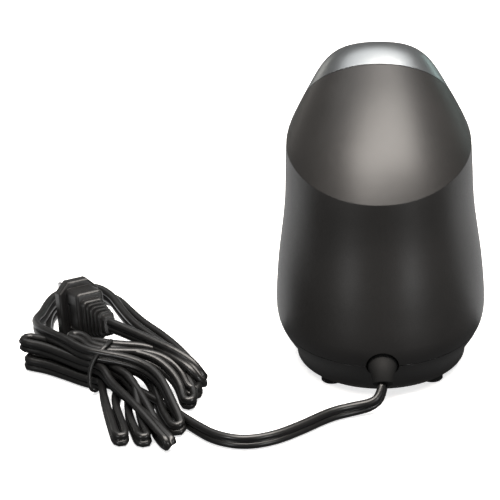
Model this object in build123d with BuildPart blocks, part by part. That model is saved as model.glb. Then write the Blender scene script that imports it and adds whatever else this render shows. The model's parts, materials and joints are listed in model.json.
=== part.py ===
from build123d import *

import os
from math import atan2, cos, degrees, pi, radians, sin, sqrt, tan

# Upright electric pencil sharpener with a mains lead, in millimetres.
# +Z is up and z = 0 is the surface that the feet stand on. The front, with the pencil hole and
# the shavings drawer, faces -Y; the mains lead leaves at the rear, +Y.

os.makedirs("parts", exist_ok=True)

# ---------------------------------------------------------------- driving dimensions

WALL = 2.4
DEPTH_RATIO = 1.18
FOOT_HEIGHT = 3.0
SEAM_Z = 18.5
GAP = 0.3

# Height and half width of the waisted body, before the hood cuts its top off.
BODY_WIDTHS = [
    (FOOT_HEIGHT, 38.7),
    (SEAM_Z, 46.2),
    (31, 48.0),
    (43, 47.4),
    (52, 46.6),
    (65, 45.0),
    (79, 43.6),
    (100, 43.0),
    (125, 42.9),
    (150, 42.8),
]

# The hood is turned about the pencil axis: depth below its tip, and radius there.
TIP_Y = -40.2
TIP_Z = 135.8
TIP_ELEVATION = 55.6
HOOD_RADII = [(7, 25.7), (16, 31.3), (28, 37.8), (44, 44.9), (62, 50.9), (84, 53.9), (106, 54.4)]
HOOD_BLEND_DEPTH = 45
HOOD_TAIL = 60
HOOD_FRONT = (130, 140)

# The parting plane between the black body and the bright cap.
PARTING_POINT = (0, -9, 142.4)
PARTING_NORMAL = (0, -0.816, 0.578)

# The pencil hole and the machine behind it sit this far above the middle of the hood.
MACHINE_RISE = 4.0
PENCIL_RADIUS = 4.2
SHAFT_CLEARANCE = 0.05

# Depths below the tip of the hood, along the pencil axis.
FRAME_FRONT = 12.0
FRAME_PLATE = 2.0
RING_DEPTH = 19.0
RING_WIDTH = 4.0
CUTTER_DEPTH = 25.0
CUTTER_LENGTH = 22.5
UPPER_PLATE = 57.0
LOWER_PLATE = 70.0
PLATE = 2.0
MOTOR_FACE = LOWER_PLATE + PLATE
MOTOR_LENGTH = 34.0

# Gear train: fixed ring and two planets, then the head gear, the reduction gear and the motor.
RING_MODULE = 0.7
RING_TEETH = 42
PLANET_TEETH = 12
DRIVE_MODULE = 0.8
HEAD_TEETH = 44
SMALL_TEETH = 12
LARGE_TEETH = 42
MOTOR_TEETH = 9
MOTOR_OFFSET = 14.0
HEAD_LAYER = 60.0
MOTOR_LAYER = 65.0
GEAR_FACE = 4.0

CUTTER_RADIUS = 5.8
CUTTER_TILT = 9.68
PIN_RADIUS = 1.25

DRAWER_HALF_WIDTH = 28.5
DRAWER_BOTTOM = 25.0
DRAWER_TOP = 58.0
DRAWER_BACK = 2.0
WINDOW = GAP + 1.2

CORD_WIDTH = 7.0


# ---------------------------------------------------------------- shared planes and helpers

AXIS = Vector(0, -cos(radians(TIP_ELEVATION)), sin(radians(TIP_ELEVATION)))
ACROSS = Vector(0, sin(radians(TIP_ELEVATION)), cos(radians(TIP_ELEVATION)))
TIP = Vector(0, TIP_Y, TIP_Z)


def level(depth, x=0.0, y=0.0):
    """Plane square to the pencil axis at a depth below the tip, facing back up the axis."""
    return Plane(origin=on_axis(x, y, depth), x_dir=(1, 0, 0), z_dir=AXIS)


def on_axis(x, y, depth):
    """Row-frame point at a place in the machine, whose axis lies a little above the hood's."""
    return TIP - AXIS * depth + Vector(x, 0, 0) + ACROSS * (y + MACHINE_RISE)


def save(name, shape):
    """Label a finished piece and write it as its own STEP file."""
    shape.label = name
    export_step(shape, f"parts/{name}.step")


def tooth_points(teeth, module, phase, inner=False):
    """Corners of slim straight-sided teeth, one tooth centred on the phase angle."""
    pitch_radius = teeth * module / 2
    tip = pitch_radius + (-0.75 if inner else 0.75) * module
    root = pitch_radius + (1.5 if inner else -1.15) * module
    tip_half = 0.30 * module / tip
    root_half = 0.88 * module / root
    points = []
    for index in range(teeth):
        middle = radians(phase) + 2 * pi * index / teeth
        for radius, angle in (
            (root, middle - root_half),
            (tip, middle - tip_half),
            (tip, middle + tip_half),
            (root, middle + root_half),
        ):
            points.append((radius * cos(angle), radius * sin(angle)))
    return points


def disc(bottom, top, radius, hole=0.0, x=0.0, y=0.0):
    """Plain round disc or tube between two depths, about a line parallel to the pencil axis."""
    with BuildPart() as piece:
        with BuildSketch(level(bottom, x, y)):
            Circle(radius)
            if hole:
                Circle(hole, mode=Mode.SUBTRACT)
        extrude(amount=bottom - top)
    return piece.part


def gear(bottom, face, teeth, module, phase, bore, x=0.0, y=0.0):
    """Spur gear with slim straight teeth."""
    with BuildPart() as piece:
        with BuildSketch(level(bottom, x, y)):
            Polygon(*tooth_points(teeth, module, phase), align=None)
            if bore:
                Circle(bore, mode=Mode.SUBTRACT)
        extrude(amount=face)
    return piece.part


# ---------------------------------------------------------------- outer form

def vase(inset):
    """The waisted body as a loft through ellipses, drawn in by an inset."""
    with BuildPart() as piece:
        for height, half_width in BODY_WIDTHS:
            with BuildSketch(Plane.XY.offset(height)):
                Ellipse(half_width - inset, half_width * DEPTH_RATIO - inset)
        loft()
    return piece.part


def hood(inset):
    """Everything under the hood: turned about the pencil axis, and opened to the front below."""
    side = Plane(origin=TIP, x_dir=(1, 0, 0), z_dir=-ACROSS)
    end_depth = HOOD_RADII[-1][0] + HOOD_TAIL
    end_radius = HOOD_RADII[-1][1] - inset
    with BuildPart() as piece:
        with BuildSketch(side):
            with BuildLine():
                points = [(0, -inset)] + [(radius - inset, -depth) for depth, radius in HOOD_RADII]
                curve = Spline(points)
                Polyline(curve @ 1, (end_radius, -end_depth), (0, -end_depth), (0, -inset))
            make_face()
        revolve(axis=Axis(TIP, AXIS))
        with BuildSketch(level(end_depth)):
            with Locations((0, -HOOD_FRONT[1] / 2 + 10 - MACHINE_RISE)):
                Rectangle(*HOOD_FRONT)
        extrude(amount=end_depth - HOOD_BLEND_DEPTH)
    return piece.part


def form(inset):
    """The whole outside, or the cavity when drawn in by the wall."""
    with BuildPart() as piece:
        add(vase(inset))
        add(hood(inset), mode=Mode.INTERSECT)
    return piece.part


def keep_between(shape, low, high):
    """What lies on the normal side of one plane and behind another; either may be None."""
    with BuildPart() as piece:
        add(shape)
        if low:
            split(bisect_by=low, keep=Keep.TOP)
        if high:
            split(bisect_by=high, keep=Keep.BOTTOM)
    return piece.part


def hollow(outside, inside):
    with BuildPart() as piece:
        add(outside)
        add(inside, mode=Mode.SUBTRACT)
    return piece.part


outer_form = form(0)
cavity = form(WALL)
lip_inside = form(WALL + 1.6)
outer_shell = hollow(outer_form, cavity)
lip_shell = hollow(cavity, lip_inside)

PARTING = Plane(origin=PARTING_POINT, x_dir=(1, 0, 0), z_dir=PARTING_NORMAL)
SEAM = Plane.XY.offset(SEAM_Z)
LIP = 3.0

# The lead leaves through a flared rubber boss at the bottom of the rear wall, which bends down.
BOSS_HEIGHT = 18.6
BOSS_RADIUS = 7.2
BOSS_INSIDE_Y = 46.0
BOSS_NECK_Y = 48.0
BOSS_WALL_Y = 52.0
BOSS_HOLE_Y = 47.0
BOSS_END = (0, 59.5, 12.0)
BOSS_TIP_RADIUS = 4.6
BOSS_TIP_SLOPE = 50

SCREW_POST = (30, 18)
BRACKET_SCREW = (12, 22)
POST_PLACES = [(SCREW_POST[0], SCREW_POST[1]), (-SCREW_POST[0], SCREW_POST[1])]
BRACKET_PLACES = [(BRACKET_SCREW[0], BRACKET_SCREW[1]), (-BRACKET_SCREW[0], BRACKET_SCREW[1])]
UPRIGHT = (Align.CENTER, Align.CENTER, Align.MIN)

with BuildPart() as boss_hole:
    with BuildSketch(Plane.XZ.offset(-BOSS_HOLE_Y)):
        with Locations((0, BOSS_HEIGHT)):
            Circle(BOSS_RADIUS + GAP)
    extrude(amount=-20)


# ---------------------------------------------------------------- housing

def screw_posts():
    """Posts for the two base screws, each tied to the side wall by a rib."""
    with BuildPart() as posts:
        with BuildSketch(SEAM.offset(LIP + GAP)):
            for side in (1, -1):
                with Locations((side * SCREW_POST[0], SCREW_POST[1])):
                    Rectangle(18, 2, rotation=90 - side * 70, align=(Align.MIN, Align.CENTER))
        extrude(amount=14 - LIP - GAP)
        with BuildSketch(SEAM):
            with Locations(*POST_PLACES):
                Circle(3.6)
        extrude(amount=14)
        add(outer_form, mode=Mode.INTERSECT)
        with BuildSketch(SEAM):
            with Locations(*POST_PLACES):
                Circle(1.4)
        extrude(amount=11, mode=Mode.SUBTRACT)
    return posts.part


with BuildPart() as body_shell:
    add(keep_between(outer_shell, SEAM, PARTING))
    add(screw_posts())
    # Window for the shavings drawer.
    with BuildSketch(Plane.XZ.offset(20)):
        with Locations((0, (DRAWER_BOTTOM + DRAWER_TOP) / 2)):
            window_height = DRAWER_TOP - DRAWER_BOTTOM + 2 * WINDOW
            RectangleRounded(2 * (DRAWER_HALF_WIDTH + WINDOW), window_height, 3)
    extrude(amount=60, mode=Mode.SUBTRACT)
    add(boss_hole.part, mode=Mode.SUBTRACT)
save("body_shell", body_shell.part)

BEZEL_RADIUS = 9.0
BEZEL_TUBE = 6.2
BEZEL_SEAT = 1.5
BEZEL_SUNK = 0.5
with BuildPart() as face_cap:
    add(keep_between(hollow(outer_form, lip_inside), PARTING.offset(GAP), None))
    # The lip enters the black body behind the parting line.
    add(keep_between(lip_shell, PARTING.offset(-LIP), PARTING.offset(GAP)))
    with BuildSketch(level(BEZEL_SEAT)):
        Circle(BEZEL_RADIUS + GAP)
    extrude(amount=10, mode=Mode.SUBTRACT)
    with BuildSketch(level(12)):
        Circle(BEZEL_TUBE + GAP)
    extrude(amount=20, mode=Mode.SUBTRACT)
save("face_cap", face_cap.part)

with BuildPart() as entry_bezel:
    with BuildSketch(level(BEZEL_SEAT)):
        Circle(BEZEL_RADIUS)
    extrude(amount=BEZEL_SEAT - BEZEL_SUNK)
    fillet(entry_bezel.edges().sort_by(Axis(TIP, AXIS))[-1], 0.4)
    with BuildSketch(level(8)):
        Circle(BEZEL_TUBE)
    extrude(amount=8 - BEZEL_SEAT)
    with BuildSketch(level(9)):
        Circle(PENCIL_RADIUS)
    extrude(amount=12, mode=Mode.SUBTRACT)
save("entry_bezel", entry_bezel.part)

BASE_FLOOR = 2.5
RAIL_INNER = 25.0
RAIL_OUTER = 30.4
RAIL_LENGTH = 26.0
with BuildPart() as base_tray:
    add(keep_between(outer_form, None, SEAM.offset(-GAP)))
    add(keep_between(lip_inside, Plane.XY.offset(FOOT_HEIGHT + BASE_FLOOR), None), mode=Mode.SUBTRACT)
    # Locating lip inside the body.
    add(keep_between(lip_shell, SEAM.offset(-GAP), SEAM.offset(LIP)))
    # Two rails that the drawer slides on, each with an outer lip.
    for side in (1, -1):
        with Locations((side * (RAIL_INNER + RAIL_OUTER) / 2, -RAIL_LENGTH / 2, FOOT_HEIGHT)):
            Box(RAIL_OUTER - RAIL_INNER, RAIL_LENGTH, DRAWER_BOTTOM - GAP - FOOT_HEIGHT, align=UPRIGHT)
        with Locations((side * (RAIL_OUTER - 0.75), -RAIL_LENGTH / 2, DRAWER_BOTTOM - 1)):
            Box(1.5, RAIL_LENGTH, 6, align=UPRIGHT)
    # Screw columns and holes, then the opening for the rubber boss.
    with Locations(*[(x, y, FOOT_HEIGHT) for x, y in POST_PLACES]):
        Cylinder(4.2, SEAM_Z - FOOT_HEIGHT - GAP, align=UPRIGHT)
    with Locations(*[(x, y, 0) for x, y in POST_PLACES]):
        Cylinder(1.7, 30, align=UPRIGHT, mode=Mode.SUBTRACT)
        Cylinder(3.0, 8, align=UPRIGHT, mode=Mode.SUBTRACT)
    with Locations(*[(x, y, 0) for x, y in BRACKET_PLACES]):
        Cylinder(1.7, 20, align=UPRIGHT, mode=Mode.SUBTRACT)
    add(boss_hole.part, mode=Mode.SUBTRACT)
save("base_tray", base_tray.part)

FOOT_PLACES = [(23, 29), (-23, 29), (23, -29), (-23, -29)]
with BuildPart() as rubber_feet:
    with Locations(*[(x, y, 0) for x, y in FOOT_PLACES]):
        Cylinder(5, FOOT_HEIGHT, align=UPRIGHT)
    chamfer(rubber_feet.edges().group_by(Axis.Z)[0], 0.6)
save("rubber_feet", rubber_feet.part)

POST_HEAD_Z = 8.0
with BuildPart() as base_screws:
    with Locations(*[(x, y, POST_HEAD_Z) for x, y in POST_PLACES]):
        Cylinder(2.7, 2, align=(Align.CENTER, Align.CENTER, Align.MAX))
        Cylinder(1.4, 20, align=UPRIGHT)
    with Locations(*[(x, y, FOOT_HEIGHT) for x, y in BRACKET_PLACES]):
        Cylinder(2.7, 1.6, align=(Align.CENTER, Align.CENTER, Align.MAX))
        Cylinder(1.2, 6.5, align=UPRIGHT)
save("base_screws", base_screws.part)


# ---------------------------------------------------------------- shavings drawer

DRAWER_WALL = 1.6
PANEL_TOP = DRAWER_TOP + 1.0
PANEL_BOTTOM = DRAWER_BOTTOM - 0.9
with BuildPart() as drawer_front:
    add(outer_shell)
    with BuildSketch(Plane.XZ.offset(20)):
        with Locations((0, (PANEL_TOP + PANEL_BOTTOM) / 2)):
            RectangleRounded(2 * (DRAWER_HALF_WIDTH + 1.0), PANEL_TOP - PANEL_BOTTOM, 2.6)
    extrude(amount=60, mode=Mode.INTERSECT)
    # Shallow finger scoop.
    with Locations((0, -68.2, 42)):
        Sphere(14, mode=Mode.SUBTRACT)
save("drawer_front", drawer_front.part)


def bin_block(half_width, back, bottom, height, limit):
    """Box behind the drawer front, cut to the inside of the body."""
    with BuildPart() as block:
        with Locations((0, back, bottom)):
            Box(2 * half_width, 70, height, align=(Align.CENTER, Align.MAX, Align.MIN))
        add(limit, mode=Mode.INTERSECT)
    return block.part


save("shavings_bin", hollow(
    bin_block(DRAWER_HALF_WIDTH, DRAWER_BACK, DRAWER_BOTTOM, DRAWER_TOP - DRAWER_BOTTOM, cavity),
    bin_block(
        DRAWER_HALF_WIDTH - DRAWER_WALL, DRAWER_BACK - DRAWER_WALL, DRAWER_BOTTOM + DRAWER_WALL, 50,
        lip_inside,
    ),
))


# ---------------------------------------------------------------- cutter frame and gear plates

FRAME_RADIUS = 18.4
RING_SEAT = 16.6
FRAME_DEPTH = 24.0
LEVER_DEPTH = 9.6
LEVER_PIVOT = 7.6


def lever_plane(x):
    """Plane square to the start lever's pin, at a distance along it."""
    return Plane(origin=on_axis(x, LEVER_PIVOT, LEVER_DEPTH), x_dir=ACROSS, z_dir=(1, 0, 0))


with BuildPart() as cutter_frame:
    add(disc(FRAME_FRONT + FRAME_PLATE, FRAME_FRONT, FRAME_RADIUS, PENCIL_RADIUS + 0.3))
    add(disc(FRAME_DEPTH, FRAME_FRONT + FRAME_PLATE, FRAME_RADIUS, RING_SEAT))
    # Side struts down to the upper gear plate.
    with BuildSketch(level(UPPER_PLATE)):
        for side in (1, -1):
            with Locations((side * (FRAME_RADIUS + RING_SEAT) / 2, 0)):
                Rectangle(FRAME_RADIUS - RING_SEAT, 9)
    extrude(amount=UPPER_PLATE - FRAME_DEPTH)
    # Ears for the start lever's pin.
    with BuildSketch(level(FRAME_FRONT)):
        for side in (1, -1):
            with Locations((side * 2.8, LEVER_PIVOT)):
                Rectangle(1.6, 2.4)
    extrude(amount=3.6)
    with BuildSketch(lever_plane(-5)):
        Circle(0.6)
    extrude(amount=10, mode=Mode.SUBTRACT)
save("cutter_frame", cutter_frame.part)

with BuildPart() as ring_gear:
    with BuildSketch(level(RING_DEPTH + RING_WIDTH)):
        Circle(RING_SEAT)
        Polygon(
            *tooth_points(RING_TEETH, RING_MODULE, 180 / RING_TEETH, inner=True),
            align=None, mode=Mode.SUBTRACT,
        )
    extrude(amount=RING_WIDTH)
save("ring_gear", ring_gear.part)

# Idler place from the two centre distances.
HEAD_TO_IDLER = DRIVE_MODULE * (HEAD_TEETH + SMALL_TEETH) / 2
MOTOR_TO_IDLER = DRIVE_MODULE * (LARGE_TEETH + MOTOR_TEETH) / 2
IDLER_Y = (HEAD_TO_IDLER**2 - MOTOR_TO_IDLER**2 + MOTOR_OFFSET**2) / (2 * MOTOR_OFFSET)
IDLER_X = sqrt(HEAD_TO_IDLER**2 - IDLER_Y**2)
POST_SPOTS = [(-15, -16.5), (15, -16.5), (-20, 13), (11, 34)]
HEAD_JOURNAL = 4.0
TAIL_JOURNAL = 3.0
BUSH_OUTER = 6.5
TAIL_BUSH_OUTER = 5.0
IDLER_SHAFT = 2.0
MOTOR_COLLAR = 4.5


def gear_plate(bottom, holes):
    """Plate with a rounded outline around the posts, bored as listed."""
    with BuildPart() as plate:
        with BuildSketch(level(bottom)):
            with Locations(*POST_SPOTS):
                Circle(4.5)
            with Locations((IDLER_X + 3, IDLER_Y)):
                Circle(5)
            with Locations((0, 0)):
                Circle(14)
            make_hull()
            for x, y, radius in holes:
                with Locations((x, y)):
                    Circle(radius, mode=Mode.SUBTRACT)
        extrude(amount=PLATE)
    return plate.part


save("gear_plate_upper", gear_plate(
    UPPER_PLATE + PLATE,
    [(0, 0, BUSH_OUTER), (IDLER_X, IDLER_Y, IDLER_SHAFT)] + [(x, y, 1.5) for x, y in POST_SPOTS],
))
save("gear_plate_lower", gear_plate(
    LOWER_PLATE + PLATE,
    [(0, 0, TAIL_BUSH_OUTER), (IDLER_X, IDLER_Y, IDLER_SHAFT), (0, MOTOR_OFFSET, MOTOR_COLLAR)]
    + [(x, y, 1.5) for x, y in POST_SPOTS],
))

with BuildPart() as plate_posts:
    for x, y in POST_SPOTS:
        add(disc(LOWER_PLATE, UPPER_PLATE + PLATE, 3.0, 1.5, x, y))
save("plate_posts", plate_posts.part)

with BuildPart() as plate_screws:
    for x, y in POST_SPOTS:
        add(disc(UPPER_PLATE, UPPER_PLATE - 1.8, 2.7, 0, x, y))
        add(disc(LOWER_PLATE + PLATE, UPPER_PLATE, 1.45, 0, x, y))
save("plate_screws", plate_screws.part)

with BuildPart() as head_bushes:
    add(disc(UPPER_PLATE + PLATE, UPPER_PLATE, BUSH_OUTER, HEAD_JOURNAL + SHAFT_CLEARANCE))
    add(disc(LOWER_PLATE + PLATE, LOWER_PLATE, TAIL_BUSH_OUTER, TAIL_JOURNAL + SHAFT_CLEARANCE))
save("head_bushes", head_bushes.part)

save("idler_shaft", disc(LOWER_PLATE + PLATE, UPPER_PLATE, IDLER_SHAFT, 0, IDLER_X, IDLER_Y))


# ---------------------------------------------------------------- drive bracket and board

BRACKET_INNER = 17.0
BRACKET_OUTER = 19.5
FLOOR_Z = FOOT_HEIGHT + BASE_FLOOR
BOARD_Z = 12.0
UNDER_PLATE = (on_axis(0, -9, MOTOR_FACE), on_axis(0, 13, MOTOR_FACE))
with BuildPart() as drive_bracket:
    for side in (BRACKET_INNER, -BRACKET_OUTER):
        with BuildSketch(Plane.YZ.offset(side)):
            Polygon(
                (10, FLOOR_Z), (5, 56),
                (UNDER_PLATE[0].Y, UNDER_PLATE[0].Z), (UNDER_PLATE[1].Y, UNDER_PLATE[1].Z),
                (34, 40), (34, FLOOR_Z),
                align=None,
            )
        extrude(amount=BRACKET_OUTER - BRACKET_INNER)
    with Locations((0, 22, FLOOR_Z)):
        Box(2 * BRACKET_OUTER, 24, 2.5, align=UPRIGHT)
    with Locations(*[(x, y, FLOOR_Z) for x, y in ((12, 13), (-12, 13), (12, 31), (-12, 31))]):
        Cylinder(2.2, BOARD_Z - FLOOR_Z, align=UPRIGHT)
    # Shelf that holds the drawer switch.
    with Locations((BRACKET_OUTER, 11, 36)):
        Box(8, 11, 2, align=(Align.MIN, Align.CENTER, Align.MIN))
    with Locations(*[(x, y, 0) for x, y in BRACKET_PLACES]):
        Cylinder(1.25, 12, align=UPRIGHT, mode=Mode.SUBTRACT)
save("drive_bracket", drive_bracket.part)

with BuildPart() as rectifier_board:
    with Locations((0, 22, BOARD_Z)):
        Box(30, 24, 1.6, align=UPRIGHT)
save("rectifier_board", rectifier_board.part)

BOARD_TOP = BOARD_Z + 1.6
BLOCK_HEIGHT = 8.0
with BuildPart() as board_components:
    with Locations((-8, 24, BOARD_TOP)):
        Cylinder(5, 14, align=UPRIGHT)
    with Locations(*[Location((x, 17, BOARD_TOP + 1.4), (90, 0, 0)) for x in (1, 5, 9, 13)]):
        Cylinder(1.4, 5)
    with Locations((7, 28, BOARD_TOP)):
        Box(12, 7, BLOCK_HEIGHT, align=UPRIGHT)
save("board_components", board_components.part)
BLOCK_TOP = BOARD_TOP + BLOCK_HEIGHT


# ---------------------------------------------------------------- rotating cutter head

CARRIER_RADIUS = 13.4
FRONT_DISC = (17.6, 15.2)
REAR_DISC = (54.0, 51.0)
PLANET_CENTRE = RING_MODULE * (RING_TEETH - PLANET_TEETH) / 2
PLANET_DEPTH = RING_DEPTH + RING_WIDTH / 2


def tilted(side, depth):
    """Plane square to one cutter's slanted axis, on that axis; side is +1 or -1."""
    slope = tan(radians(CUTTER_TILT))
    reach = PLANET_CENTRE - slope * (depth - PLANET_DEPTH)
    lean = radians(CUTTER_TILT)
    up = (AXIS * cos(lean) + Vector(side, 0, 0) * sin(lean)).normalized()
    across = (Vector(1, 0, 0) - up * up.X).normalized()
    return Plane(origin=on_axis(side * reach, 0, depth), x_dir=across, z_dir=up)


def cutter_pin(side, radius, top, bottom):
    """Round pin on one cutter's slanted axis, between two depths."""
    with BuildPart() as pin:
        with BuildSketch(tilted(side, bottom)):
            Circle(radius)
        extrude(amount=(bottom - top) / cos(radians(CUTTER_TILT)))
    return pin.part


with BuildPart() as cutter_carrier:
    add(disc(*FRONT_DISC, CARRIER_RADIUS, 5.2))
    add(disc(*REAR_DISC, CARRIER_RADIUS))
    with BuildSketch(level(REAR_DISC[1])):
        for side in (1, -1):
            with Locations((0, side * 11.2)):
                Rectangle(9, 2.6)
    extrude(amount=REAR_DISC[1] - FRONT_DISC[0])
    add(disc(HEAD_LAYER + GEAR_FACE, REAR_DISC[0], HEAD_JOURNAL))
    add(disc(LOWER_PLATE + PLATE, HEAD_LAYER + GEAR_FACE, TAIL_JOURNAL))
    for side in (1, -1):
        add(cutter_pin(side, PIN_RADIUS, FRONT_DISC[1] - 1, REAR_DISC[0] + 1), mode=Mode.SUBTRACT)
save("cutter_carrier", cutter_carrier.part)

with BuildPart() as cutter_pins:
    for side in (1, -1):
        add(cutter_pin(side, PIN_RADIUS, FRONT_DISC[1], REAR_DISC[0] - 0.6))
save("cutter_pins", cutter_pins.part)

HEAD_PHASE = degrees(atan2(IDLER_Y, IDLER_X))
save("carrier_gear", gear(
    HEAD_LAYER + GEAR_FACE, GEAR_FACE, HEAD_TEETH, DRIVE_MODULE, HEAD_PHASE, HEAD_JOURNAL,
))

CUTTER_EDGES = 14
CUTTER_ROOT = 5.0
CUTTER_TWIST = 60
CUTTER_STEPS = 6


def cutter(side):
    """Milling cutter with slanted edges, on its own slanted pin."""
    with BuildPart() as body:
        for step in range(CUTTER_STEPS + 1):
            depth = CUTTER_DEPTH + CUTTER_LENGTH * (1 - step / CUTTER_STEPS)
            turn = CUTTER_TWIST * step / CUTTER_STEPS
            with BuildSketch(tilted(side, depth)):
                outline = []
                for edge in range(CUTTER_EDGES):
                    angle = radians(turn) + 2 * pi * edge / CUTTER_EDGES
                    outline.append((CUTTER_RADIUS * cos(angle), CUTTER_RADIUS * sin(angle)))
                    root = angle + pi / CUTTER_EDGES
                    outline.append((CUTTER_ROOT * cos(root), CUTTER_ROOT * sin(root)))
                Polygon(*outline, align=None)
        loft(ruled=True)
        bore = cutter_pin(
            side, PIN_RADIUS + SHAFT_CLEARANCE, CUTTER_DEPTH - 2, CUTTER_DEPTH + CUTTER_LENGTH + 2,
        )
        add(bore, mode=Mode.SUBTRACT)
    return body.part


def planet(side):
    """Small gear at the front of a cutter, rolling inside the fixed ring."""
    with BuildPart() as body:
        with BuildSketch(tilted(side, PLANET_DEPTH + 1.5)):
            Polygon(*tooth_points(PLANET_TEETH, RING_MODULE, 0 if side > 0 else 180), align=None)
            Circle(PIN_RADIUS + SHAFT_CLEARANCE, mode=Mode.SUBTRACT)
        extrude(amount=3)
        with BuildSketch(tilted(side, CUTTER_DEPTH)):
            Circle(3.0)
            Circle(PIN_RADIUS + SHAFT_CLEARANCE, mode=Mode.SUBTRACT)
        extrude(amount=CUTTER_DEPTH - PLANET_DEPTH - 1)
    return body.part


for name, side in (("a", 1), ("b", -1)):
    save(f"cutter_{name}", cutter(side))
    save(f"planet_gear_{name}", planet(side))


# ---------------------------------------------------------------- reduction gear and motor

SMALL_PHASE = HEAD_PHASE + 180 + 180 / SMALL_TEETH
LARGE_PHASE = degrees(atan2(MOTOR_OFFSET - IDLER_Y, -IDLER_X))
MOTOR_PHASE = LARGE_PHASE + 180 + 180 / MOTOR_TEETH
with BuildPart() as reduction_gear:
    add(gear(
        HEAD_LAYER + GEAR_FACE + 0.9, GEAR_FACE + 1.1, SMALL_TEETH, DRIVE_MODULE, SMALL_PHASE, 0,
        IDLER_X, IDLER_Y,
    ))
    add(gear(
        MOTOR_LAYER + GEAR_FACE - 0.5, GEAR_FACE - 0.4, LARGE_TEETH, DRIVE_MODULE, LARGE_PHASE, 0,
        IDLER_X, IDLER_Y,
    ))
    idler_bore = disc(
        LOWER_PLATE - 0.2, UPPER_PLATE + PLATE + 0.2, IDLER_SHAFT + SHAFT_CLEARANCE, 0,
        IDLER_X, IDLER_Y,
    )
    add(idler_bore, mode=Mode.SUBTRACT)
save("reduction_gear", reduction_gear.part)

MOTOR_SHAFT = 1.15
CAN_RADIUS = 14.5
CAN_WALL = 0.9
MOTOR_END = MOTOR_FACE + MOTOR_LENGTH
at_motor = (0, MOTOR_OFFSET)
save("motor_pinion", gear(
    MOTOR_LAYER + GEAR_FACE, GEAR_FACE, MOTOR_TEETH, DRIVE_MODULE, MOTOR_PHASE, MOTOR_SHAFT, *at_motor))
save("motor_shaft", disc(MOTOR_END + 1.5, MOTOR_LAYER - 0.3, MOTOR_SHAFT, 0, *at_motor))

with BuildPart() as motor_can:
    add(disc(MOTOR_FACE + CAN_WALL, MOTOR_FACE, CAN_RADIUS, 3.0, *at_motor))
    add(disc(MOTOR_FACE, LOWER_PLATE, MOTOR_COLLAR, 3.0, *at_motor))
    add(disc(MOTOR_END, MOTOR_FACE + CAN_WALL, CAN_RADIUS, CAN_RADIUS - CAN_WALL, *at_motor))
save("motor_can", motor_can.part)

with BuildPart() as motor_end_cap:
    add(disc(MOTOR_END + 1.8, MOTOR_END, CAN_RADIUS, 3.0, *at_motor))
    add(disc(MOTOR_END, MOTOR_END - 1.5, CAN_RADIUS - CAN_WALL, CAN_RADIUS - 2.6, *at_motor))
save("motor_end_cap", motor_end_cap.part)

with BuildPart() as motor_bushes:
    add(disc(MOTOR_FACE + CAN_WALL, LOWER_PLATE, 3.0, MOTOR_SHAFT + SHAFT_CLEARANCE, *at_motor))
    add(disc(MOTOR_END + 1.8, MOTOR_END, 3.0, MOTOR_SHAFT + SHAFT_CLEARANCE, *at_motor))
save("motor_bushes", motor_bushes.part)

with BuildPart() as motor_magnets:
    add(disc(MOTOR_END - 8, MOTOR_FACE + 5, CAN_RADIUS - CAN_WALL, 11.0, *at_motor))
    with BuildSketch(level(MOTOR_END, *at_motor)):
        Rectangle(8, 40)
    extrude(amount=MOTOR_LENGTH, mode=Mode.SUBTRACT)
save("motor_magnets", motor_magnets.part)

ROTOR_RADIUS = 10.5
with BuildPart() as rotor_core:
    with BuildSketch(level(MOTOR_END - 9, *at_motor)):
        Circle(ROTOR_RADIUS)
        Circle(MOTOR_SHAFT, mode=Mode.SUBTRACT)
        with PolarLocations(ROTOR_RADIUS - 2, 5):
            Rectangle(5, 1.6, mode=Mode.SUBTRACT)
    extrude(amount=MOTOR_LENGTH - 15)
save("rotor_core", rotor_core.part)

with BuildPart() as rotor_windings:
    add(disc(MOTOR_FACE + 6, MOTOR_FACE + 2.5, 8.4, MOTOR_SHAFT, *at_motor))
    add(disc(MOTOR_END - 5.6, MOTOR_END - 9, 8.4, MOTOR_SHAFT, *at_motor))
save("rotor_windings", rotor_windings.part)

save("commutator", disc(MOTOR_END - 1.5, MOTOR_END - 5.6, 3.6, MOTOR_SHAFT, *at_motor))

with BuildPart() as motor_brushes:
    with BuildSketch(level(MOTOR_END - 2, *at_motor)):
        for side in (1, -1):
            with Locations((side * (3.7 + CAN_RADIUS - 2.6) / 2, 0)):
                Rectangle(CAN_RADIUS - 2.6 - 3.7, 2.4)
    extrude(amount=2.6)
save("motor_brushes", motor_brushes.part)


# ---------------------------------------------------------------- switches

with BuildPart() as start_switch:
    with BuildSketch(level(FRAME_FRONT)):
        with Locations((0, 12.6)):
            Rectangle(7, 6)
    extrude(amount=4.6)
save("start_switch", start_switch.part)

with BuildPart() as lever_pin:
    with BuildSketch(lever_plane(-3.6)):
        Circle(0.6)
    extrude(amount=7.2)
save("lever_pin", lever_pin.part)

LEVER_TIP = 3.5
with BuildPart() as start_lever:
    with BuildSketch(level(LEVER_DEPTH + 0.6)):
        with Locations((0, LEVER_TIP)):
            Rectangle(3.4, LEVER_PIVOT - LEVER_TIP, align=(Align.CENTER, Align.MIN))
    extrude(amount=1.2)
    with BuildSketch(lever_plane(-1.7)):
        Circle(1.2)
    extrude(amount=3.4)
    with BuildSketch(lever_plane(-1.7)):
        Circle(0.6 + SHAFT_CLEARANCE)
    extrude(amount=3.4, mode=Mode.SUBTRACT)
save("start_lever", start_lever.part)

SWITCH_X = BRACKET_OUTER + 4
SWITCH_Z = 38.0
with BuildPart() as drawer_switch:
    with Locations((SWITCH_X, 11, SWITCH_Z)):
        Box(6.4, 10, 8, align=UPRIGHT)
    with Locations(Location((SWITCH_X, 6, SWITCH_Z + 4), (90, 0, 0))):
        Cylinder(1.55, 12, mode=Mode.SUBTRACT)
save("drawer_switch", drawer_switch.part)

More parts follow.
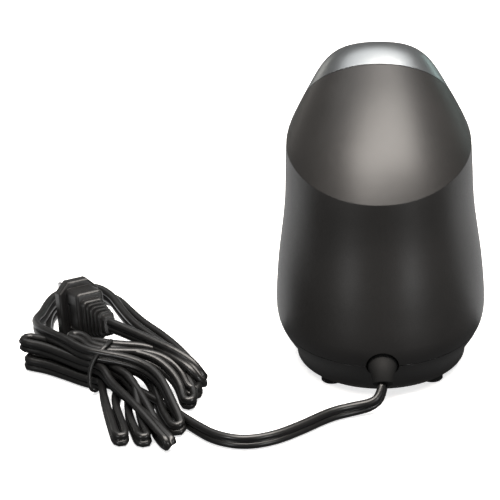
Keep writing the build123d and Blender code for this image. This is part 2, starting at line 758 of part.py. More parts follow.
with BuildPart() as switch_plunger:
    with BuildSketch(Plane.XZ.offset(-(DRAWER_BACK + GAP))):
        with Locations((SWITCH_X, SWITCH_Z + 4)):
            Circle(1.5)
    extrude(amount=-8)
save("switch_plunger", switch_plunger.part)


# ---------------------------------------------------------------- mains lead

# Route of the lead's middle line along the floor, from the rubber boss to the hank.
CORD_RADIUS = CORD_WIDTH / 2
CORD_POINTS = [
    (0, 59.5, 12.0),
    (0.9, 63.6, 7.6),
    (5.2, 66.2, 4.7),
    (13.5, 67.8, 3.7),
    (24.5, 73.0, 3.6),
    (37.0, 86.0, 3.6),
    (50.5, 97.5, 3.6),
    (64.5, 101.8, 3.6),
    (77.5, 96.0, 3.7),
    (86.0, 85.0, 3.8),
]


def start_plane(points):
    """Plane square to a route at its first point."""
    return Plane(origin=points[0], z_dir=Vector(*points[1]) - Vector(*points[0]))


def arc_radii(points):
    """Radius at each inner point: 0.45 of the shorter run over the tangent of half the turn."""
    vectors = [Vector(*point) for point in points]
    radii = []
    for before, here, after in zip(vectors, vectors[1:], vectors[2:]):
        turn = (here - before).get_angle(after - here)
        shorter = min((here - before).length, (after - here).length)
        radii.append(0.45 * shorter / tan(radians(turn / 2)))
    return radii


def boss_section(place, slope):
    """Plane across the boss, its normal sloping down and out of the rear wall."""
    return Plane(origin=place, x_dir=(1, 0, 0), z_dir=(0, cos(radians(slope)), -sin(radians(slope))))


with BuildPart() as strain_relief:
    # Flared outer end, then the neck in the wall and the flange inside.
    with BuildSketch(boss_section((0, BOSS_WALL_Y, BOSS_HEIGHT), 0)):
        Circle(BOSS_RADIUS)
    with BuildSketch(boss_section((0, 56.2, 17.0), 28)):
        Circle(5.8)
    with BuildSketch(boss_section(BOSS_END, BOSS_TIP_SLOPE)):
        Circle(BOSS_TIP_RADIUS)
    loft()
    with BuildSketch(boss_section((0, BOSS_INSIDE_Y, BOSS_HEIGHT), 0)):
        Circle(BOSS_RADIUS + 1.8)
    extrude(amount=BOSS_NECK_Y - BOSS_INSIDE_Y)
    with BuildSketch(boss_section((0, BOSS_NECK_Y, BOSS_HEIGHT), 0)):
        Circle(BOSS_RADIUS)
    extrude(amount=BOSS_WALL_Y - BOSS_NECK_Y)
save("strain_relief", strain_relief.part)

cord_radii = arc_radii(CORD_POINTS)
print("cord radii", [round(radius, 1) for radius in cord_radii])
with BuildPart() as supply_cord:
    with BuildLine() as route:
        FilletPolyline(*CORD_POINTS, radius=cord_radii)
    with BuildSketch(start_plane(CORD_POINTS)):
        Circle(CORD_RADIUS)
    sweep()
route_length = sum(edge.length for edge in route.edges())
fill = supply_cord.part.volume / (pi * CORD_RADIUS**2 * route_length)
print("cord length", round(route_length, 1), "volume over section times length", round(fill, 4))
save("supply_cord", supply_cord.part)

# The tied hank, as the closed outer shape of its turns, and the one loop that stands behind the plug.
HANK_OUTLINE = [
    (167, 12), (165, 27), (150, 37), (134, 43), (127, 60), (124, 92), (114, 108), (101, 110),
    (89, 98), (80, 68), (77, 45), (86, 34), (108, 24), (130, 18), (149, 8), (161, 5),
]
HANK_HEIGHT = 19.0
HANK_LOOP = [
    (158.0, 14.0, 9.5),
    (158.5, -3.0, 9.0),
    (156.0, -20.0, 8.0),
    (152.5, -38.0, 9.0),
    (144.0, -46.5, 11.0),
    (133.0, -47.5, 12.5),
    (123.0, -38.0, 12.5),
    (116.5, -22.0, 11.0),
    (108.0, -10.0, 10.0),
    (98.0, 4.0, 10.0),
    (88.0, 22.0, 9.0),
    (82.0, 42.0, 8.0),
]
with BuildPart() as cord_hank:
    with BuildSketch():
        with BuildLine():
            Spline(HANK_OUTLINE, periodic=True)
        make_face()
    extrude(amount=HANK_HEIGHT)
    fillet(cord_hank.edges().group_by(Axis.Z)[-1], 5)
    with BuildLine():
        FilletPolyline(*HANK_LOOP, radius=arc_radii(HANK_LOOP))
    with BuildSketch(start_plane(HANK_LOOP)):
        Circle(CORD_RADIUS)
    sweep()
save("cord_hank", cord_hank.part)

TIE_X = 133.0
TIE_MIDDLE = (29, 10.5)
with BuildPart() as twist_tie:
    with BuildSketch(Plane.YZ.offset(TIE_X)):
        with Locations(TIE_MIDDLE):
            RectangleRounded(30, 21, 8)
            RectangleRounded(28, 19, 7, mode=Mode.SUBTRACT)
    extrude(amount=2)
save("twist_tie", twist_tie.part)

# Two-pin plug: its flange stands on the floor, its tail lies on the hank, and its blades point away.
PLUG_FACE = Vector(141.0, -19.7, 15.2)
PLUG_TAIL = Vector(125.2, 12.0, 21.7)
PLUG_BACK = (PLUG_TAIL - PLUG_FACE).normalized()
PLUG_SIDE = Vector(0, 0, 1).cross(PLUG_BACK).normalized()
PLUG_PLANE = Plane(origin=PLUG_FACE, x_dir=PLUG_SIDE, z_dir=PLUG_BACK)
PLUG_LENGTH = (PLUG_TAIL - PLUG_FACE).length
FLANGE = (20.0, 30.0, 5.0)
PLUG_BODY = (14.0, 24.0, 12.0)
COLLAR = (11.0, 17.5, 3.5)
COLLAR_START = FLANGE[2] + PLUG_BODY[2]
RIBS_START = COLLAR_START + COLLAR[2]
RIB_PITCH = 3.2
RIB = 1.7
BLADE = (1.5, 6.3, 17.0)
BLADE_SPACING = 12.7
with BuildPart() as plug_body:
    with BuildSketch(PLUG_PLANE) as flange:
        Rectangle(FLANGE[0], FLANGE[1])
        chamfer(flange.vertices(), 5)
    extrude(amount=FLANGE[2])
    fillet(plug_body.edges().group_by(Axis(PLUG_FACE, PLUG_BACK))[-1], 1.2)
    with BuildSketch(PLUG_PLANE.offset(FLANGE[2])):
        RectangleRounded(PLUG_BODY[0], PLUG_BODY[1], 2.5)
    extrude(amount=PLUG_BODY[2])
    fillet(plug_body.edges().group_by(Axis(PLUG_FACE, PLUG_BACK))[-1], 1.6)
    with BuildSketch(PLUG_PLANE.offset(COLLAR_START)):
        RectangleRounded(COLLAR[0], COLLAR[1], 2.5)
    extrude(amount=COLLAR[2])
    fillet(plug_body.edges().group_by(Axis(PLUG_FACE, PLUG_BACK))[-1], 1.0)
    # Tapered core of the strain relief, with four ribs round it.
    with BuildSketch(PLUG_PLANE.offset(RIBS_START)):
        RectangleRounded(7.5, 12, 2.5)
    with BuildSketch(PLUG_PLANE.offset(PLUG_LENGTH)):
        RectangleRounded(5.5, 8.5, 2)
    loft()
    for index in range(4):
        with BuildSketch(PLUG_PLANE.offset(RIBS_START + 1.4 + index * RIB_PITCH)):
            RectangleRounded(9.6 - 0.7 * index, 15.6 - 1.3 * index, 2.5)
        extrude(amount=RIB)
    # Shallow panel on each broad side.
    for side in (1, -1):
        with BuildSketch(Plane(
            origin=PLUG_FACE + PLUG_BACK * (FLANGE[2] + 5.5) + PLUG_SIDE * (side * PLUG_BODY[0] / 2),
            x_dir=PLUG_BACK, z_dir=PLUG_SIDE * side,
        )):
            RectangleRounded(7, 12, 0.8)
        extrude(amount=-0.5, mode=Mode.SUBTRACT)
save("plug_body", plug_body.part)

with BuildPart() as plug_blades:
    with BuildSketch(PLUG_PLANE):
        for side in (1, -1):
            with Locations((0, side * BLADE_SPACING / 2)):
                Rectangle(BLADE[0], BLADE[1])
    extrude(amount=-BLADE[2])
    chamfer(plug_blades.edges().group_by(Axis(PLUG_FACE, PLUG_BACK))[0], 0.5)
    hole_centre = PLUG_FACE - PLUG_BACK * (BLADE[2] - 4.5)
    with BuildSketch(Plane(origin=hole_centre, x_dir=PLUG_BACK, z_dir=PLUG_SIDE)):
        for side in (1, -1):
            with Locations((0, side * BLADE_SPACING / 2)):
                Circle(1.6)
    extrude(amount=5, both=True, mode=Mode.SUBTRACT)
save("plug_blades", plug_blades.part)


# ---------------------------------------------------------------- wires inside

WIRE_RADIUS = 0.8
MOTOR_TERMINAL = on_axis(0, MOTOR_OFFSET + 7, MOTOR_END + 1.8)


def wire(points):
    with BuildPart() as lead:
        with BuildLine():
            FilletPolyline(*points, radius=2.5)
        with BuildSketch(start_plane(points)):
            Circle(WIRE_RADIUS)
        sweep()
    return lead.part


# Mains pair from the boss to the switch block, and the motor pair from the board.
with BuildPart() as internal_leads:
    for side in (1, -1):
        block = 7 + 2.5 * side
        add(wire([
            (1.5 * side, BOSS_INSIDE_Y - 0.7, BOSS_HEIGHT), (2 + 1.5 * side, 38, 23),
            (block, 29, BLOCK_TOP + 6), (block, 28, BLOCK_TOP + 0.2),
        ]))
        terminal = MOTOR_TERMINAL + Vector(5 * side, 0, 0)
        add(wire([
            (2.5 * side - 5, 33, BOARD_TOP + 0.2), (2.5 * side - 5, 35, BOARD_TOP + 14),
            tuple(terminal - AXIS * 7), tuple(terminal),
        ]))
save("internal_leads", internal_leads.part)
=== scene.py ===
import json
import math

import bmesh
import bpy
from mathutils import Matrix, Vector

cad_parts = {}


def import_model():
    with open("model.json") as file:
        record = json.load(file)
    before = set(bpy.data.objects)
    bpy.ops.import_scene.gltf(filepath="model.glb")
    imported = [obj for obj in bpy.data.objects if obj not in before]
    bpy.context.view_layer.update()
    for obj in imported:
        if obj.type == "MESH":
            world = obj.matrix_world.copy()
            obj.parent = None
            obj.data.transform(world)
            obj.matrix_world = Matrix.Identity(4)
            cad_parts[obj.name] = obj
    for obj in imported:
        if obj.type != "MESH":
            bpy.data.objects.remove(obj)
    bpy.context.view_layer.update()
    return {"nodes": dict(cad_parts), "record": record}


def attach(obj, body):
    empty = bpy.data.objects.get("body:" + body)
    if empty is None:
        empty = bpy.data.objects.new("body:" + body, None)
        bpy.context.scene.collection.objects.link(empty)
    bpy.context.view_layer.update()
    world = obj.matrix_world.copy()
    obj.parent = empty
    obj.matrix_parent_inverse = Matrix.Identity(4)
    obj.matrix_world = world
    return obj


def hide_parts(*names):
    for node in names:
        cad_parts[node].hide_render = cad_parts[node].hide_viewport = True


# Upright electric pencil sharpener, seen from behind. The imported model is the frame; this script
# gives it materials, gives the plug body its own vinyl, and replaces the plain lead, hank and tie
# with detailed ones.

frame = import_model()
MM = 0.001

# The part of a noise texture's range that is spread over a material's colours and roughness.
NOISE_LOW = 0.3
NOISE_HIGH = 0.7


# ---------------------------------------------------------------- node helpers

def new_material(name):
    """Material with a cleared tree; returns it, its tree and its Principled shader."""
    material = bpy.data.materials.new(name)
    material.use_nodes = True
    tree = material.node_tree
    tree.nodes.clear()
    output = tree.nodes.new("ShaderNodeOutputMaterial")
    shader = tree.nodes.new("ShaderNodeBsdfPrincipled")
    tree.links.new(shader.outputs["BSDF"], output.inputs["Surface"])
    return material, tree, shader


def noise(tree, scale, detail):
    """Noise in object coordinates, the scale in cycles per metre."""
    place = tree.nodes.new("ShaderNodeTexCoord")
    node = tree.nodes.new("ShaderNodeTexNoise")
    node.inputs["Scale"].default_value = scale
    node.inputs["Detail"].default_value = detail
    tree.links.new(place.outputs["Object"], node.inputs["Vector"])
    return node.outputs["Fac"]


def ramp(tree, value, low, high):
    """Map a noise value to a span between two numbers or two colours, clamped outside it."""
    if isinstance(low, float):
        node = tree.nodes.new("ShaderNodeMapRange")
        node.inputs["From Min"].default_value = NOISE_LOW
        node.inputs["From Max"].default_value = NOISE_HIGH
        node.inputs["To Min"].default_value = low
        node.inputs["To Max"].default_value = high
        tree.links.new(value, node.inputs["Value"])
        return node.outputs["Result"]
    node = tree.nodes.new("ShaderNodeValToRGB")
    node.color_ramp.elements[0].position = NOISE_LOW
    node.color_ramp.elements[1].position = NOISE_HIGH
    node.color_ramp.elements[0].color = (*low, 1)
    node.color_ramp.elements[1].color = (*high, 1)
    tree.links.new(value, node.inputs["Fac"])
    return node.outputs["Color"]


def surface_detail(tree, shader, height, distance, rounding):
    """Bump from a height, over edges rounded in shading."""
    bump = tree.nodes.new("ShaderNodeBump")
    bump.inputs["Distance"].default_value = distance
    tree.links.new(height, bump.inputs["Height"])
    if rounding:
        bevel = tree.nodes.new("ShaderNodeBevel")
        bevel.inputs["Radius"].default_value = rounding
        tree.links.new(bevel.outputs["Normal"], bump.inputs["Normal"])
    tree.links.new(bump.outputs["Normal"], shader.inputs["Normal"])


def moulded(
    name, dark, light, rough, grain=2200, depth=0.00003, rounding=0.0006, specular=0.5
):
    """Moulded plastic or rubber: slight colour drift, a fine texture and rounded edges."""
    material, tree, shader = new_material(name)
    drift = noise(tree, 38, 3)
    fine = noise(tree, grain, 2)
    tree.links.new(ramp(tree, drift, dark, light), shader.inputs["Base Color"])
    tree.links.new(ramp(tree, fine, rough - 0.05, rough + 0.05), shader.inputs["Roughness"])
    shader.inputs["Specular IOR Level"].default_value = specular
    surface_detail(tree, shader, fine, depth, rounding)
    return material


def metal(name, dark, light, rough, grain=900, depth=0.00002):
    """Metal with a fine grain and slightly rounded edges."""
    material, tree, shader = new_material(name)
    fine = noise(tree, grain, 3)
    shader.inputs["Metallic"].default_value = 1.0
    tree.links.new(ramp(tree, fine, dark, light), shader.inputs["Base Color"])
    tree.links.new(ramp(tree, fine, rough - 0.06, rough + 0.08), shader.inputs["Roughness"])
    surface_detail(tree, shader, fine, depth, 0.0003)
    return material


def smoked_plastic():
    """Smoked clear plastic of the shavings drawer, with faint moulding haze."""
    material, tree, shader = new_material("smoked_plastic")
    haze = noise(tree, 120, 4)
    tint = ramp(tree, haze, (0.035, 0.036, 0.04), (0.055, 0.056, 0.06))
    tree.links.new(tint, shader.inputs["Base Color"])
    tree.links.new(ramp(tree, haze, 0.12, 0.24), shader.inputs["Roughness"])
    shader.inputs["Transmission Weight"].default_value = 0.55
    shader.inputs["IOR"].default_value = 1.49
    surface_detail(tree, shader, haze, 0.00002, 0.0004)
    return material


SHELL_BLACK = moulded("shell_black", (0.013, 0.0125, 0.012), (0.017, 0.016, 0.0155), 0.42)
CAP_SILVER = metal(
    "cap_silver", (0.38, 0.40, 0.41), (0.45, 0.47, 0.48), 0.33, grain=5200, depth=0.000012
)
TRIM_BLACK = moulded("trim_black", (0.014, 0.014, 0.014), (0.02, 0.02, 0.02), 0.48)
RUBBER = moulded(
    "boss_rubber", (0.010, 0.010, 0.010), (0.016, 0.016, 0.016), 0.7, grain=1500, specular=0.12
)
CORD_VINYL = moulded(
    "cord_vinyl", (0.006, 0.006, 0.006), (0.010, 0.010, 0.010), 0.33,
    grain=420, depth=0.000012, rounding=0,
)
PLUG_VINYL = moulded(
    "plug_vinyl", (0.008, 0.008, 0.008), (0.013, 0.013, 0.013), 0.38,
    grain=1300, depth=0.00006, rounding=0.0003,
)
STEEL = metal("plain_steel", (0.45, 0.45, 0.46), (0.62, 0.62, 0.63), 0.32)
HARD_STEEL = metal("cutter_steel", (0.28, 0.28, 0.30), (0.42, 0.42, 0.44), 0.28)
BRASS = metal("turned_brass", (0.62, 0.44, 0.18), (0.75, 0.56, 0.26), 0.30)
COPPER = metal(
    "copper_wire", (0.50, 0.20, 0.09), (0.66, 0.30, 0.14), 0.35, grain=2600, depth=0.0001
)
MAGNET = moulded("magnet_ferrite", (0.05, 0.05, 0.055), (0.08, 0.08, 0.085), 0.6)
ACETAL = moulded("white_acetal", (0.66, 0.65, 0.60), (0.74, 0.73, 0.69), 0.38)
BOARD = moulded("board_laminate", (0.018, 0.11, 0.04), (0.03, 0.16, 0.06), 0.35, grain=900)
COMPONENT = moulded("component_black", (0.02, 0.02, 0.022), (0.04, 0.04, 0.042), 0.35)
WIRE = moulded("wire_sleeve", (0.20, 0.20, 0.21), (0.27, 0.27, 0.28), 0.4, grain=700)
SMOKE = smoked_plastic()

SLOT_MATERIALS = {
    "black_shell": SHELL_BLACK,
    "silver_cap": CAP_SILVER,
    "black_trim": TRIM_BLACK,
    "rubber": RUBBER,
    "smoke": SMOKE,
    "steel": STEEL,
    "hard_steel": HARD_STEEL,
    "brass": BRASS,
    "gear_white": ACETAL,
    "board_green": BOARD,
    "component_black": COMPONENT,
    "magnet": MAGNET,
    "copper": COPPER,
    "cord_black": CORD_VINYL,
    "wire_grey": WIRE,
}


def dress_cad_nodes():
    """Give each CAD node the material of the slot that the record names for it."""
    for subpart in frame["record"]["subparts"]:
        node = frame["nodes"][subpart["node"]]
        material = SLOT_MATERIALS[subpart["material_slot"]]
        if subpart["node"] == "plug_body":
            material = PLUG_VINYL
        node.data.materials.clear()
        node.data.materials.append(material)


dress_cad_nodes()


# ---------------------------------------------------------------- mesh helpers

CURVE_STEPS = 10


def mesh_object(name, vertices, faces, material, body="housing"):
    """Smooth mesh that rides on a body, in the material given."""
    mesh = bpy.data.meshes.new(name)
    mesh.from_pydata([tuple(v) for v in vertices], [], faces)
    work = bmesh.new()
    work.from_mesh(mesh)
    bmesh.ops.recalc_face_normals(work, faces=work.faces)
    work.to_mesh(mesh)
    work.free()
    mesh.materials.append(material)
    mesh.shade_smooth()
    piece = bpy.data.objects.new(name, mesh)
    bpy.context.scene.collection.objects.link(piece)
    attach(piece, body)
    return piece


def skin(rings):
    """Vertices and faces through rings of equal length, capped at both ends."""
    count = len(rings[0])
    vertices = [point for ring in rings for point in ring]
    faces = []
    for i in range(len(rings) - 1):
        low = i * count
        high = low + count
        for j in range(count):
            k = (j + 1) % count
            faces.append((low + j, low + k, high + k, high + j))
    faces.append(tuple(reversed(range(count))))
    faces.append(tuple(range((len(rings) - 1) * count, len(rings) * count)))
    return vertices, faces


def curve_vertices(control):
    """Vertices along an order 3 NURBS curve with these control points."""
    curve = bpy.data.curves.new("route", "CURVE")
    curve.dimensions = "3D"
    spline = curve.splines.new("NURBS")
    spline.points.add(len(control) - 1)
    for point, place in zip(spline.points, control):
        point.co = (*place, 1)
    spline.order_u = 3
    spline.use_endpoint_u = True
    spline.resolution_u = CURVE_STEPS
    holder = bpy.data.objects.new("route", curve)
    bpy.context.scene.collection.objects.link(holder)
    mesh = bpy.data.meshes.new_from_object(holder)
    points = [vertex.co.copy() for vertex in mesh.vertices]
    bpy.data.objects.remove(holder)
    bpy.data.curves.remove(curve)
    bpy.data.meshes.remove(mesh)
    return points


def route(control):
    """Points and twists along a smooth line through (x, y, z[, twist in degrees]) entries in mm."""
    places = curve_vertices([Vector(c[:3]) * MM for c in control])
    twists = curve_vertices([Vector((c[3] if len(c) > 3 else 0.0, 0, 0)) for c in control])
    return [Vector((*place, twist.x)) for place, twist in zip(places, twists)]


def evenly(points, step):
    """The same line with points a step apart, ends kept."""
    lengths = [0.0]
    for a, b in zip(points, points[1:]):
        lengths.append(lengths[-1] + (b.to_3d() - a.to_3d()).length)
    total = lengths[-1]
    count = max(2, round(total / step))
    result = []
    index = 0
    for i in range(count + 1):
        target = total * i / count
        while index < len(lengths) - 2 and lengths[index + 1] < target:
            index += 1
        span = lengths[index + 1] - lengths[index]
        share = (target - lengths[index]) / span if span else 0
        result.append(points[index].lerp(points[index + 1], share))
    return result


# ---------------------------------------------------------------- the supply lead
# A flat twin lead, 7 mm wide, lying on edge. It runs from the boss to the hank, goes through the
# tie twelve times, passes behind the plug twice, and ends in the plug.

LOBE_RADIUS = 1.88
LOBE_OFFSET = 1.62
PLUG_TAIL = Vector((125.2, 12.0, 21.7))
PLUG_FACE = Vector((141.0, -19.7, 15.2))
TIE = Vector((131, 30, 0))
TO_RIGHT = Vector((-0.90, 0.44, 0)).normalized()
TO_FRONT = Vector((0.44, 0.90, 0)).normalized()

FREE_RUN = [
    (0, 59.5, 12.0), (0.9, 63.6, 7.6), (5.2, 66.2, 4.7), (13.5, 67.8, 3.7), (24.5, 73, 3.6),
    (37, 86, 3.6), (50.5, 97.5, 3.6), (64.5, 101.8, 3.6), (77.5, 96, 3.7), (86, 85, 3.8),
]


def at_tie(offset, height, along=0.0):
    """Point of a pass near the tie: sideways offset, height, and distance toward the right."""
    place = TIE + TO_RIGHT * along + TO_FRONT * offset
    return (place.x, place.y, height)


def left_fold(start, end, start_side, end_side, height, reach):
    """Control points of one pass left from the tie, its fold, and the pass back to the tie."""
    round_off = 0.6 * abs(end_side - start_side)
    return [
        at_tie(start, height, 5),
        at_tie(start, height, -4),
        at_tie(0.5 * (start + start_side), height, -0.38 * reach),
        at_tie(start_side, height, -0.7 * reach),
        at_tie(start_side, height, -reach + round_off),
        at_tie(start_side, height, -reach),
        at_tie(end_side, height, -reach),
        at_tie(end_side, height, -reach + round_off),
        at_tie(end_side, height, -0.7 * reach),
        at_tie(0.5 * (end + end_side), height, -0.38 * reach),
        at_tie(end, height, -4),
        at_tie(end, height, 5),
    ]


# Heights of the three rows of passes in the tie, and sideways places of its four columns.
LOW, MID, TOP = (3.6, 10.7, 17.8)
BACK, REAR, FORE, FRONT = (-5.4, -1.8, 1.8, 5.4)

FRONT_LOOP = [
    (128.8, 46, LOW), (127.3, 60, LOW), (125.2, 76, LOW), (123.7, 87, LOW), (122.6, 96, LOW),
    (118, 96, LOW), (118.8, 87, LOW), (120.6, 77, LOW), (122.4, 66, LOW), (123, 54, LOW),
    (121, 42, LOW),
]
SECOND_FRONT_LOOP = [
    (113, 38, LOW), (116.5, 52, LOW), (117.2, 66, LOW), (115.6, 80, LOW), (113.6, 89, LOW),
    (112.4, 97, LOW), (107.6, 97.4, LOW), (108.8, 90, LOW), (111, 79, 4.5), (112.6, 66, 7),
    (114, 50, MID),
]
DIAGONAL_LOOP = [
    (124.8, 49, 9, 25), (116.5, 67, 10, 45), (108, 84, 9, 60), (101.8, 95.5, 6.9, 75),
    (97.4, 103, 5.4, 85), (98.2, 101.4, 2.5, 85), (102, 93, 3.1, 78), (106, 81, 5.6, 35),
    (110, 66, 8.4, 10), (117, 47, MID),
]
MIDDLE_LOOP = [
    (110, 36, 9.5), (105.5, 47, 7), (103.2, 58, 4.4), (101.4, 70, LOW), (99, 79, LOW),
    (96.6, 86.4, LOW), (91.8, 86, 4.2), (93.6, 79, 6), (96.4, 72, 8.5), (99.4, 62, 11),
    (102.5, 53, 13.2), (108.5, 45, 15.2), (117, 40.5, 17),
]
AROUND_PLUG = [
    (146, 21, TOP), (153, 10.5, 16), (158.5, 0, 14), (160, -11, 12.5), (157, -20, 11.2),
    (155, -30, 10.6), (151.8, -40, 10.8), (143.5, -47, 11.4), (133, -47, 12.5),
    (125, -38, 12.5), (120, -23, 11.6), (114.5, -9, 11), (107, 3, 10.6), (99.5, 14, 10.2),
    (92, 25, 9), (87, 34, 6.8), (84.4, 43, 5), (85, 51, 4.4), (90.5, 49, 6), (92.5, 41, 9.6),
    (97.5, 36.5, 13.2), (106, 32.5, 16),
]
SIDE_LOOP = [
    (107, 35, 15.6), (98.5, 41, 11.6), (93.6, 48, 7.6), (92, 54.5, 4.4), (91, 60, 3.8),
    (86.8, 58.5, 3.8), (87, 51, 4.6), (89.5, 43, 7.8), (96, 33, 12.5), (106, 27.5, 16.4),
]
AROUND_AGAIN = [
    (142, 17, 15), (149, 7, 10), (153.5, -6, 5.5), (154.6, -22, 3.8), (153, -40, 3.8),
    (143.5, -50.2, 5), (132.5, -51, 7), (122, -41, 9), (116, -26, 9.5), (110, -12.5, 9.6),
    (101.5, 1, 9.8), (93.5, 16, 9.6), (88, 27, 8.2), (83.6, 35, 6.6), (81.6, 42, 6.4),
    (84, 44, 10), (88, 41.5, 15), (96, 35.5, 18), (105, 28.5, 19.6), (115, 20.5, 21),
]
HANK = (
    [(95, 71, 3.7), (107, 54, 3.7), (117, 42, 3.7)]
    + left_fold(FORE, FRONT, -6.8, -0.5, LOW, 37.2)
    + FRONT_LOOP
    + left_fold(REAR, BACK, -9.2, -13.4, LOW, 31)
    + SECOND_FRONT_LOOP
    + left_fold(FORE, FRONT, -8.6, -2.4, MID + 0.8, 40.5)
    + DIAGONAL_LOOP
    + left_fold(REAR, BACK, -10.6, -14.4, MID, 33)
    + MIDDLE_LOOP
    + [at_tie(FRONT, TOP, 4), at_tie(FRONT, TOP, -5)]
    + AROUND_PLUG
    + left_fold(FORE, REAR, -4.5, -9, TOP - 0.6, 17)
    + SIDE_LOOP
    + [at_tie(BACK, TOP, 6), at_tie(BACK, TOP, -2)]
    + AROUND_AGAIN
    + [tuple(PLUG_TAIL), tuple(PLUG_TAIL + (PLUG_FACE - PLUG_TAIL) * 0.12)]
)


LEAD_STEP = 0.0021
STRAP_STEP = 0.0012
# How fast a level run turns back on its edge, and the slight sway of the lead in radians.
UPRIGHT_PULL = 0.25
SLOW_SWAY = 0.10
QUICK_SWAY = 0.07


def lead_frames(points):
    """Each point with its tangent and wide direction, upright on a level run until twisted."""
    frames = []
    places = [point.to_3d() for point in points]
    wide = Vector((0, 0, 1))
    for i, place in enumerate(places):
        tangent = (places[min(i + 1, len(places) - 1)] - places[max(i - 1, 0)]).normalized()
        wide = (wide - tangent * wide.dot(tangent)).normalized()
        upright = Vector((0, 0, 1)) - tangent * tangent.z
        pull = upright.length ** 4 * UPRIGHT_PULL
        if wide.dot(upright) < 0:
            upright.negate()
        wide = (wide + upright * pull).normalized()
        frames.append((place, tangent, wide.copy(), math.radians(points[i].w)))
    return frames


def twin_outline(steps=9):
    """Outline of the flat twin lead: two round cores side by side with a groove between."""
    meet = math.acos(LOBE_OFFSET / LOBE_RADIUS)
    outline = []
    for sign in (1, -1):
        for k in range(steps):
            angle = (math.pi - meet) * (1 - 2 * k / (steps - 1))
            outline.append((sign * (LOBE_OFFSET + LOBE_RADIUS * math.cos(angle)),
                            sign * LOBE_RADIUS * math.sin(angle)))
    return outline


def supply_lead():
    """Mesh of the whole lead, swaying slightly along its way, and the line it follows."""
    path = evenly(route(FREE_RUN + HANK), LEAD_STEP)
    outline = twin_outline()
    rings = []
    for i, (point, tangent, wide, twist) in enumerate(lead_frames(path)):
        along = i * LEAD_STEP
        sway = SLOW_SWAY * math.sin(along * 31) + QUICK_SWAY * math.sin(along * 73 + 1.3)
        wide = Matrix.Rotation(twist + sway, 3, tangent) @ wide
        thick = tangent.cross(wide)
        rings.append([point + (wide * w + thick * t) * MM for w, t in outline])
    vertices, faces = skin(rings)
    piece = mesh_object("supply_lead", vertices, faces, CORD_VINYL)
    return piece, [point.to_3d() for point in path]


lead, lead_path = supply_lead()
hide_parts("supply_cord", "cord_hank")


# Half width and half thickness of the strap, and the corners of its section.
STRAP_WIDE = 1.1
STRAP_THICK = 0.55
STRAP_SIDES = 10


def tie_strap():
    """Thin strap round the hank, leaning to the right at its top."""
    control = [
        (131, 31, 0.8), (131.5, 40.5, 0.8), (134.5, 41.8, 3), (135, 40, 8), (134.3, 38.6, 13),
        (131.8, 37.6, 18.2), (128, 36.4, 21.9), (125.6, 31, 22), (123.9, 25, 20.8),
        (125, 22.6, 14), (127, 22, 5), (128.5, 23.5, 0.8), (131, 31, 0.8),
    ]
    path = evenly(route(control), STRAP_STEP)
    rings = []
    places = [point.to_3d() for point in path]
    centre = sum(places, Vector()) / len(places)
    for i, place in enumerate(places):
        tangent = (places[min(i + 1, len(places) - 1)] - places[max(i - 1, 0)]).normalized()
        outward = place - centre
        outward = (outward - tangent * outward.dot(tangent)).normalized()
        across = tangent.cross(outward)
        rings.append([
            place + (across * math.cos(a) * STRAP_WIDE + outward * math.sin(a) * STRAP_THICK) * MM
            for a in (2 * math.pi * k / STRAP_SIDES for k in range(STRAP_SIDES))
        ])
    vertices, faces = skin(rings)
    return mesh_object("tie_strap", vertices, faces, PLUG_VINYL)


tie = tie_strap()
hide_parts("twist_tie")


# ---------------------------------------------------------------- stage, lights and camera

FLOOR_HALF_WIDTH = 12
FLOOR_DEPTH = 0.0004
FLOOR_GLOW = 0.72


def floor():
    """Pale ground that glows evenly in the picture and doesn't light or mirror in the object."""
    work = bmesh.new()
    bmesh.ops.create_grid(work, x_segments=2, y_segments=2, size=FLOOR_HALF_WIDTH)
    mesh = bpy.data.meshes.new("floor")
    work.to_mesh(mesh)
    work.free()
    material, tree, shader = new_material("pale_floor")
    speckle = noise(tree, 6, 2)
    tint = ramp(tree, speckle, (0.84, 0.84, 0.84), (0.86, 0.86, 0.86))
    tree.links.new(tint, shader.inputs["Base Color"])
    shader.inputs["Roughness"].default_value = 0.8
    shader.inputs["Specular IOR Level"].default_value = 0.0
    shader.inputs["Emission Color"].default_value = (1, 1, 1, 1)
    shader.inputs["Emission Strength"].default_value = FLOOR_GLOW
    mesh.materials.append(material)
    piece = bpy.data.objects.new("floor", mesh)
    bpy.context.scene.collection.objects.link(piece)
    piece.location.z = -FLOOR_DEPTH
    piece.visible_glossy = False
    piece.visible_diffuse = False


def area_light(name, place, target, width, height, power, colour=(1, 1, 1)):
    """Rectangular light at a place, turned to the target."""
    data = bpy.data.lights.new(name, "AREA")
    data.shape = "RECTANGLE"
    data.size = width
    data.size_y = height
    data.energy = power
    data.color = colour
    light = bpy.data.objects.new(name, data)
    light.location = place
    light.rotation_mode = "QUATERNION"
    light.rotation_quaternion = (Vector(target) - Vector(place)).to_track_quat("-Z", "Y")
    bpy.context.scene.collection.objects.link(light)
    return light


BODY_MIDDLE = 0.07


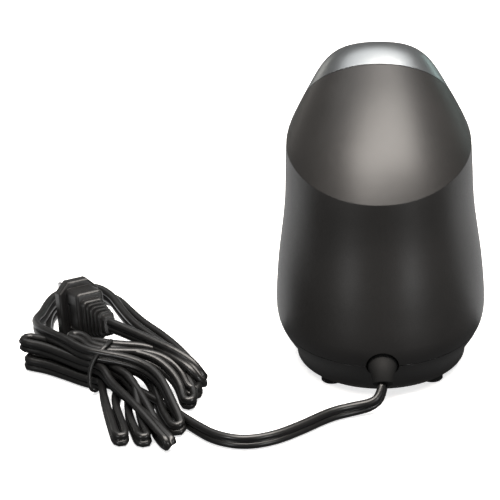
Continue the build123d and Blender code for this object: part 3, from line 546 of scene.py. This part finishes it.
def around(azimuth, elevation, distance):
    """Place on a sphere round the body; azimuth 180 is behind it, and 90 on its +X side."""
    turn = math.radians(azimuth)
    rise = math.radians(elevation)
    level = math.cos(rise) * distance
    height = math.sin(rise) * distance + BODY_MIDDLE
    return (math.sin(turn) * level, -math.cos(turn) * level, height)


SKY_STRENGTH = 0.13


def world():
    """Even dim light from all sides."""
    sky = bpy.data.worlds.new("studio")
    sky.use_nodes = True
    background = sky.node_tree.nodes["Background"]
    background.inputs["Color"].default_value = (1, 1, 1, 1)
    background.inputs["Strength"].default_value = SKY_STRENGTH
    bpy.context.scene.world = sky


CAMERA_AIM = Vector((0.060, 0, 0.0532))
CAMERA_DISTANCE = 6
CAMERA_RISE = math.radians(25)
CAMERA_ROLL = math.radians(-0.9)


def camera():
    """Long lens from behind and above, rolled slightly."""
    data = bpy.data.cameras.new("camera")
    data.sensor_width = 36
    data.lens = 936
    data.clip_end = 50
    view = bpy.data.objects.new("camera", data)
    back = Vector((0, math.cos(CAMERA_RISE), math.sin(CAMERA_RISE)))
    view.location = CAMERA_AIM + back * CAMERA_DISTANCE
    view.rotation_mode = "QUATERNION"
    turned = (-back).to_track_quat("-Z", "Y")
    view.rotation_quaternion = turned @ Matrix.Rotation(CAMERA_ROLL, 3, "Z").to_quaternion()
    bpy.context.scene.collection.objects.link(view)
    bpy.context.scene.camera = view


floor()
world()
camera()
area_light("key", around(200, 77, 1.5), (0, 0, 0.09), 1.7, 0.9, 69, (1.0, 0.94, 0.88))
area_light("front_panel", around(0, 64, 1.6), (0, 0, 0.1), 2.4, 1.2, 12)
area_light("left_band", around(140, 5, 1.2), (0, 0, 0.08), 0.08, 0.3, 2.4)
area_light("right_band", around(219, 5, 1.2), (0, 0, 0.08), 0.10, 0.3, 3.4)
area_light("left_rim", around(34, 3, 1.2), (0, 0, 0.05), 0.5, 0.14, 0.3, (1.0, 0.96, 0.88))
area_light("right_rim", around(326, 3, 1.2), (0, 0, 0.05), 0.5, 0.14, 0.3, (0.74, 1.0, 0.94))
# Stands for the pale ground in front of the body, which mirrors in the body's edges.
card = area_light("card", (0, -0.2, 0.001), (0, -0.2, 1), 0.9, 0.36, 0.9)
card.visible_camera = False
bpy.context.scene.view_settings.view_transform = "Standard"
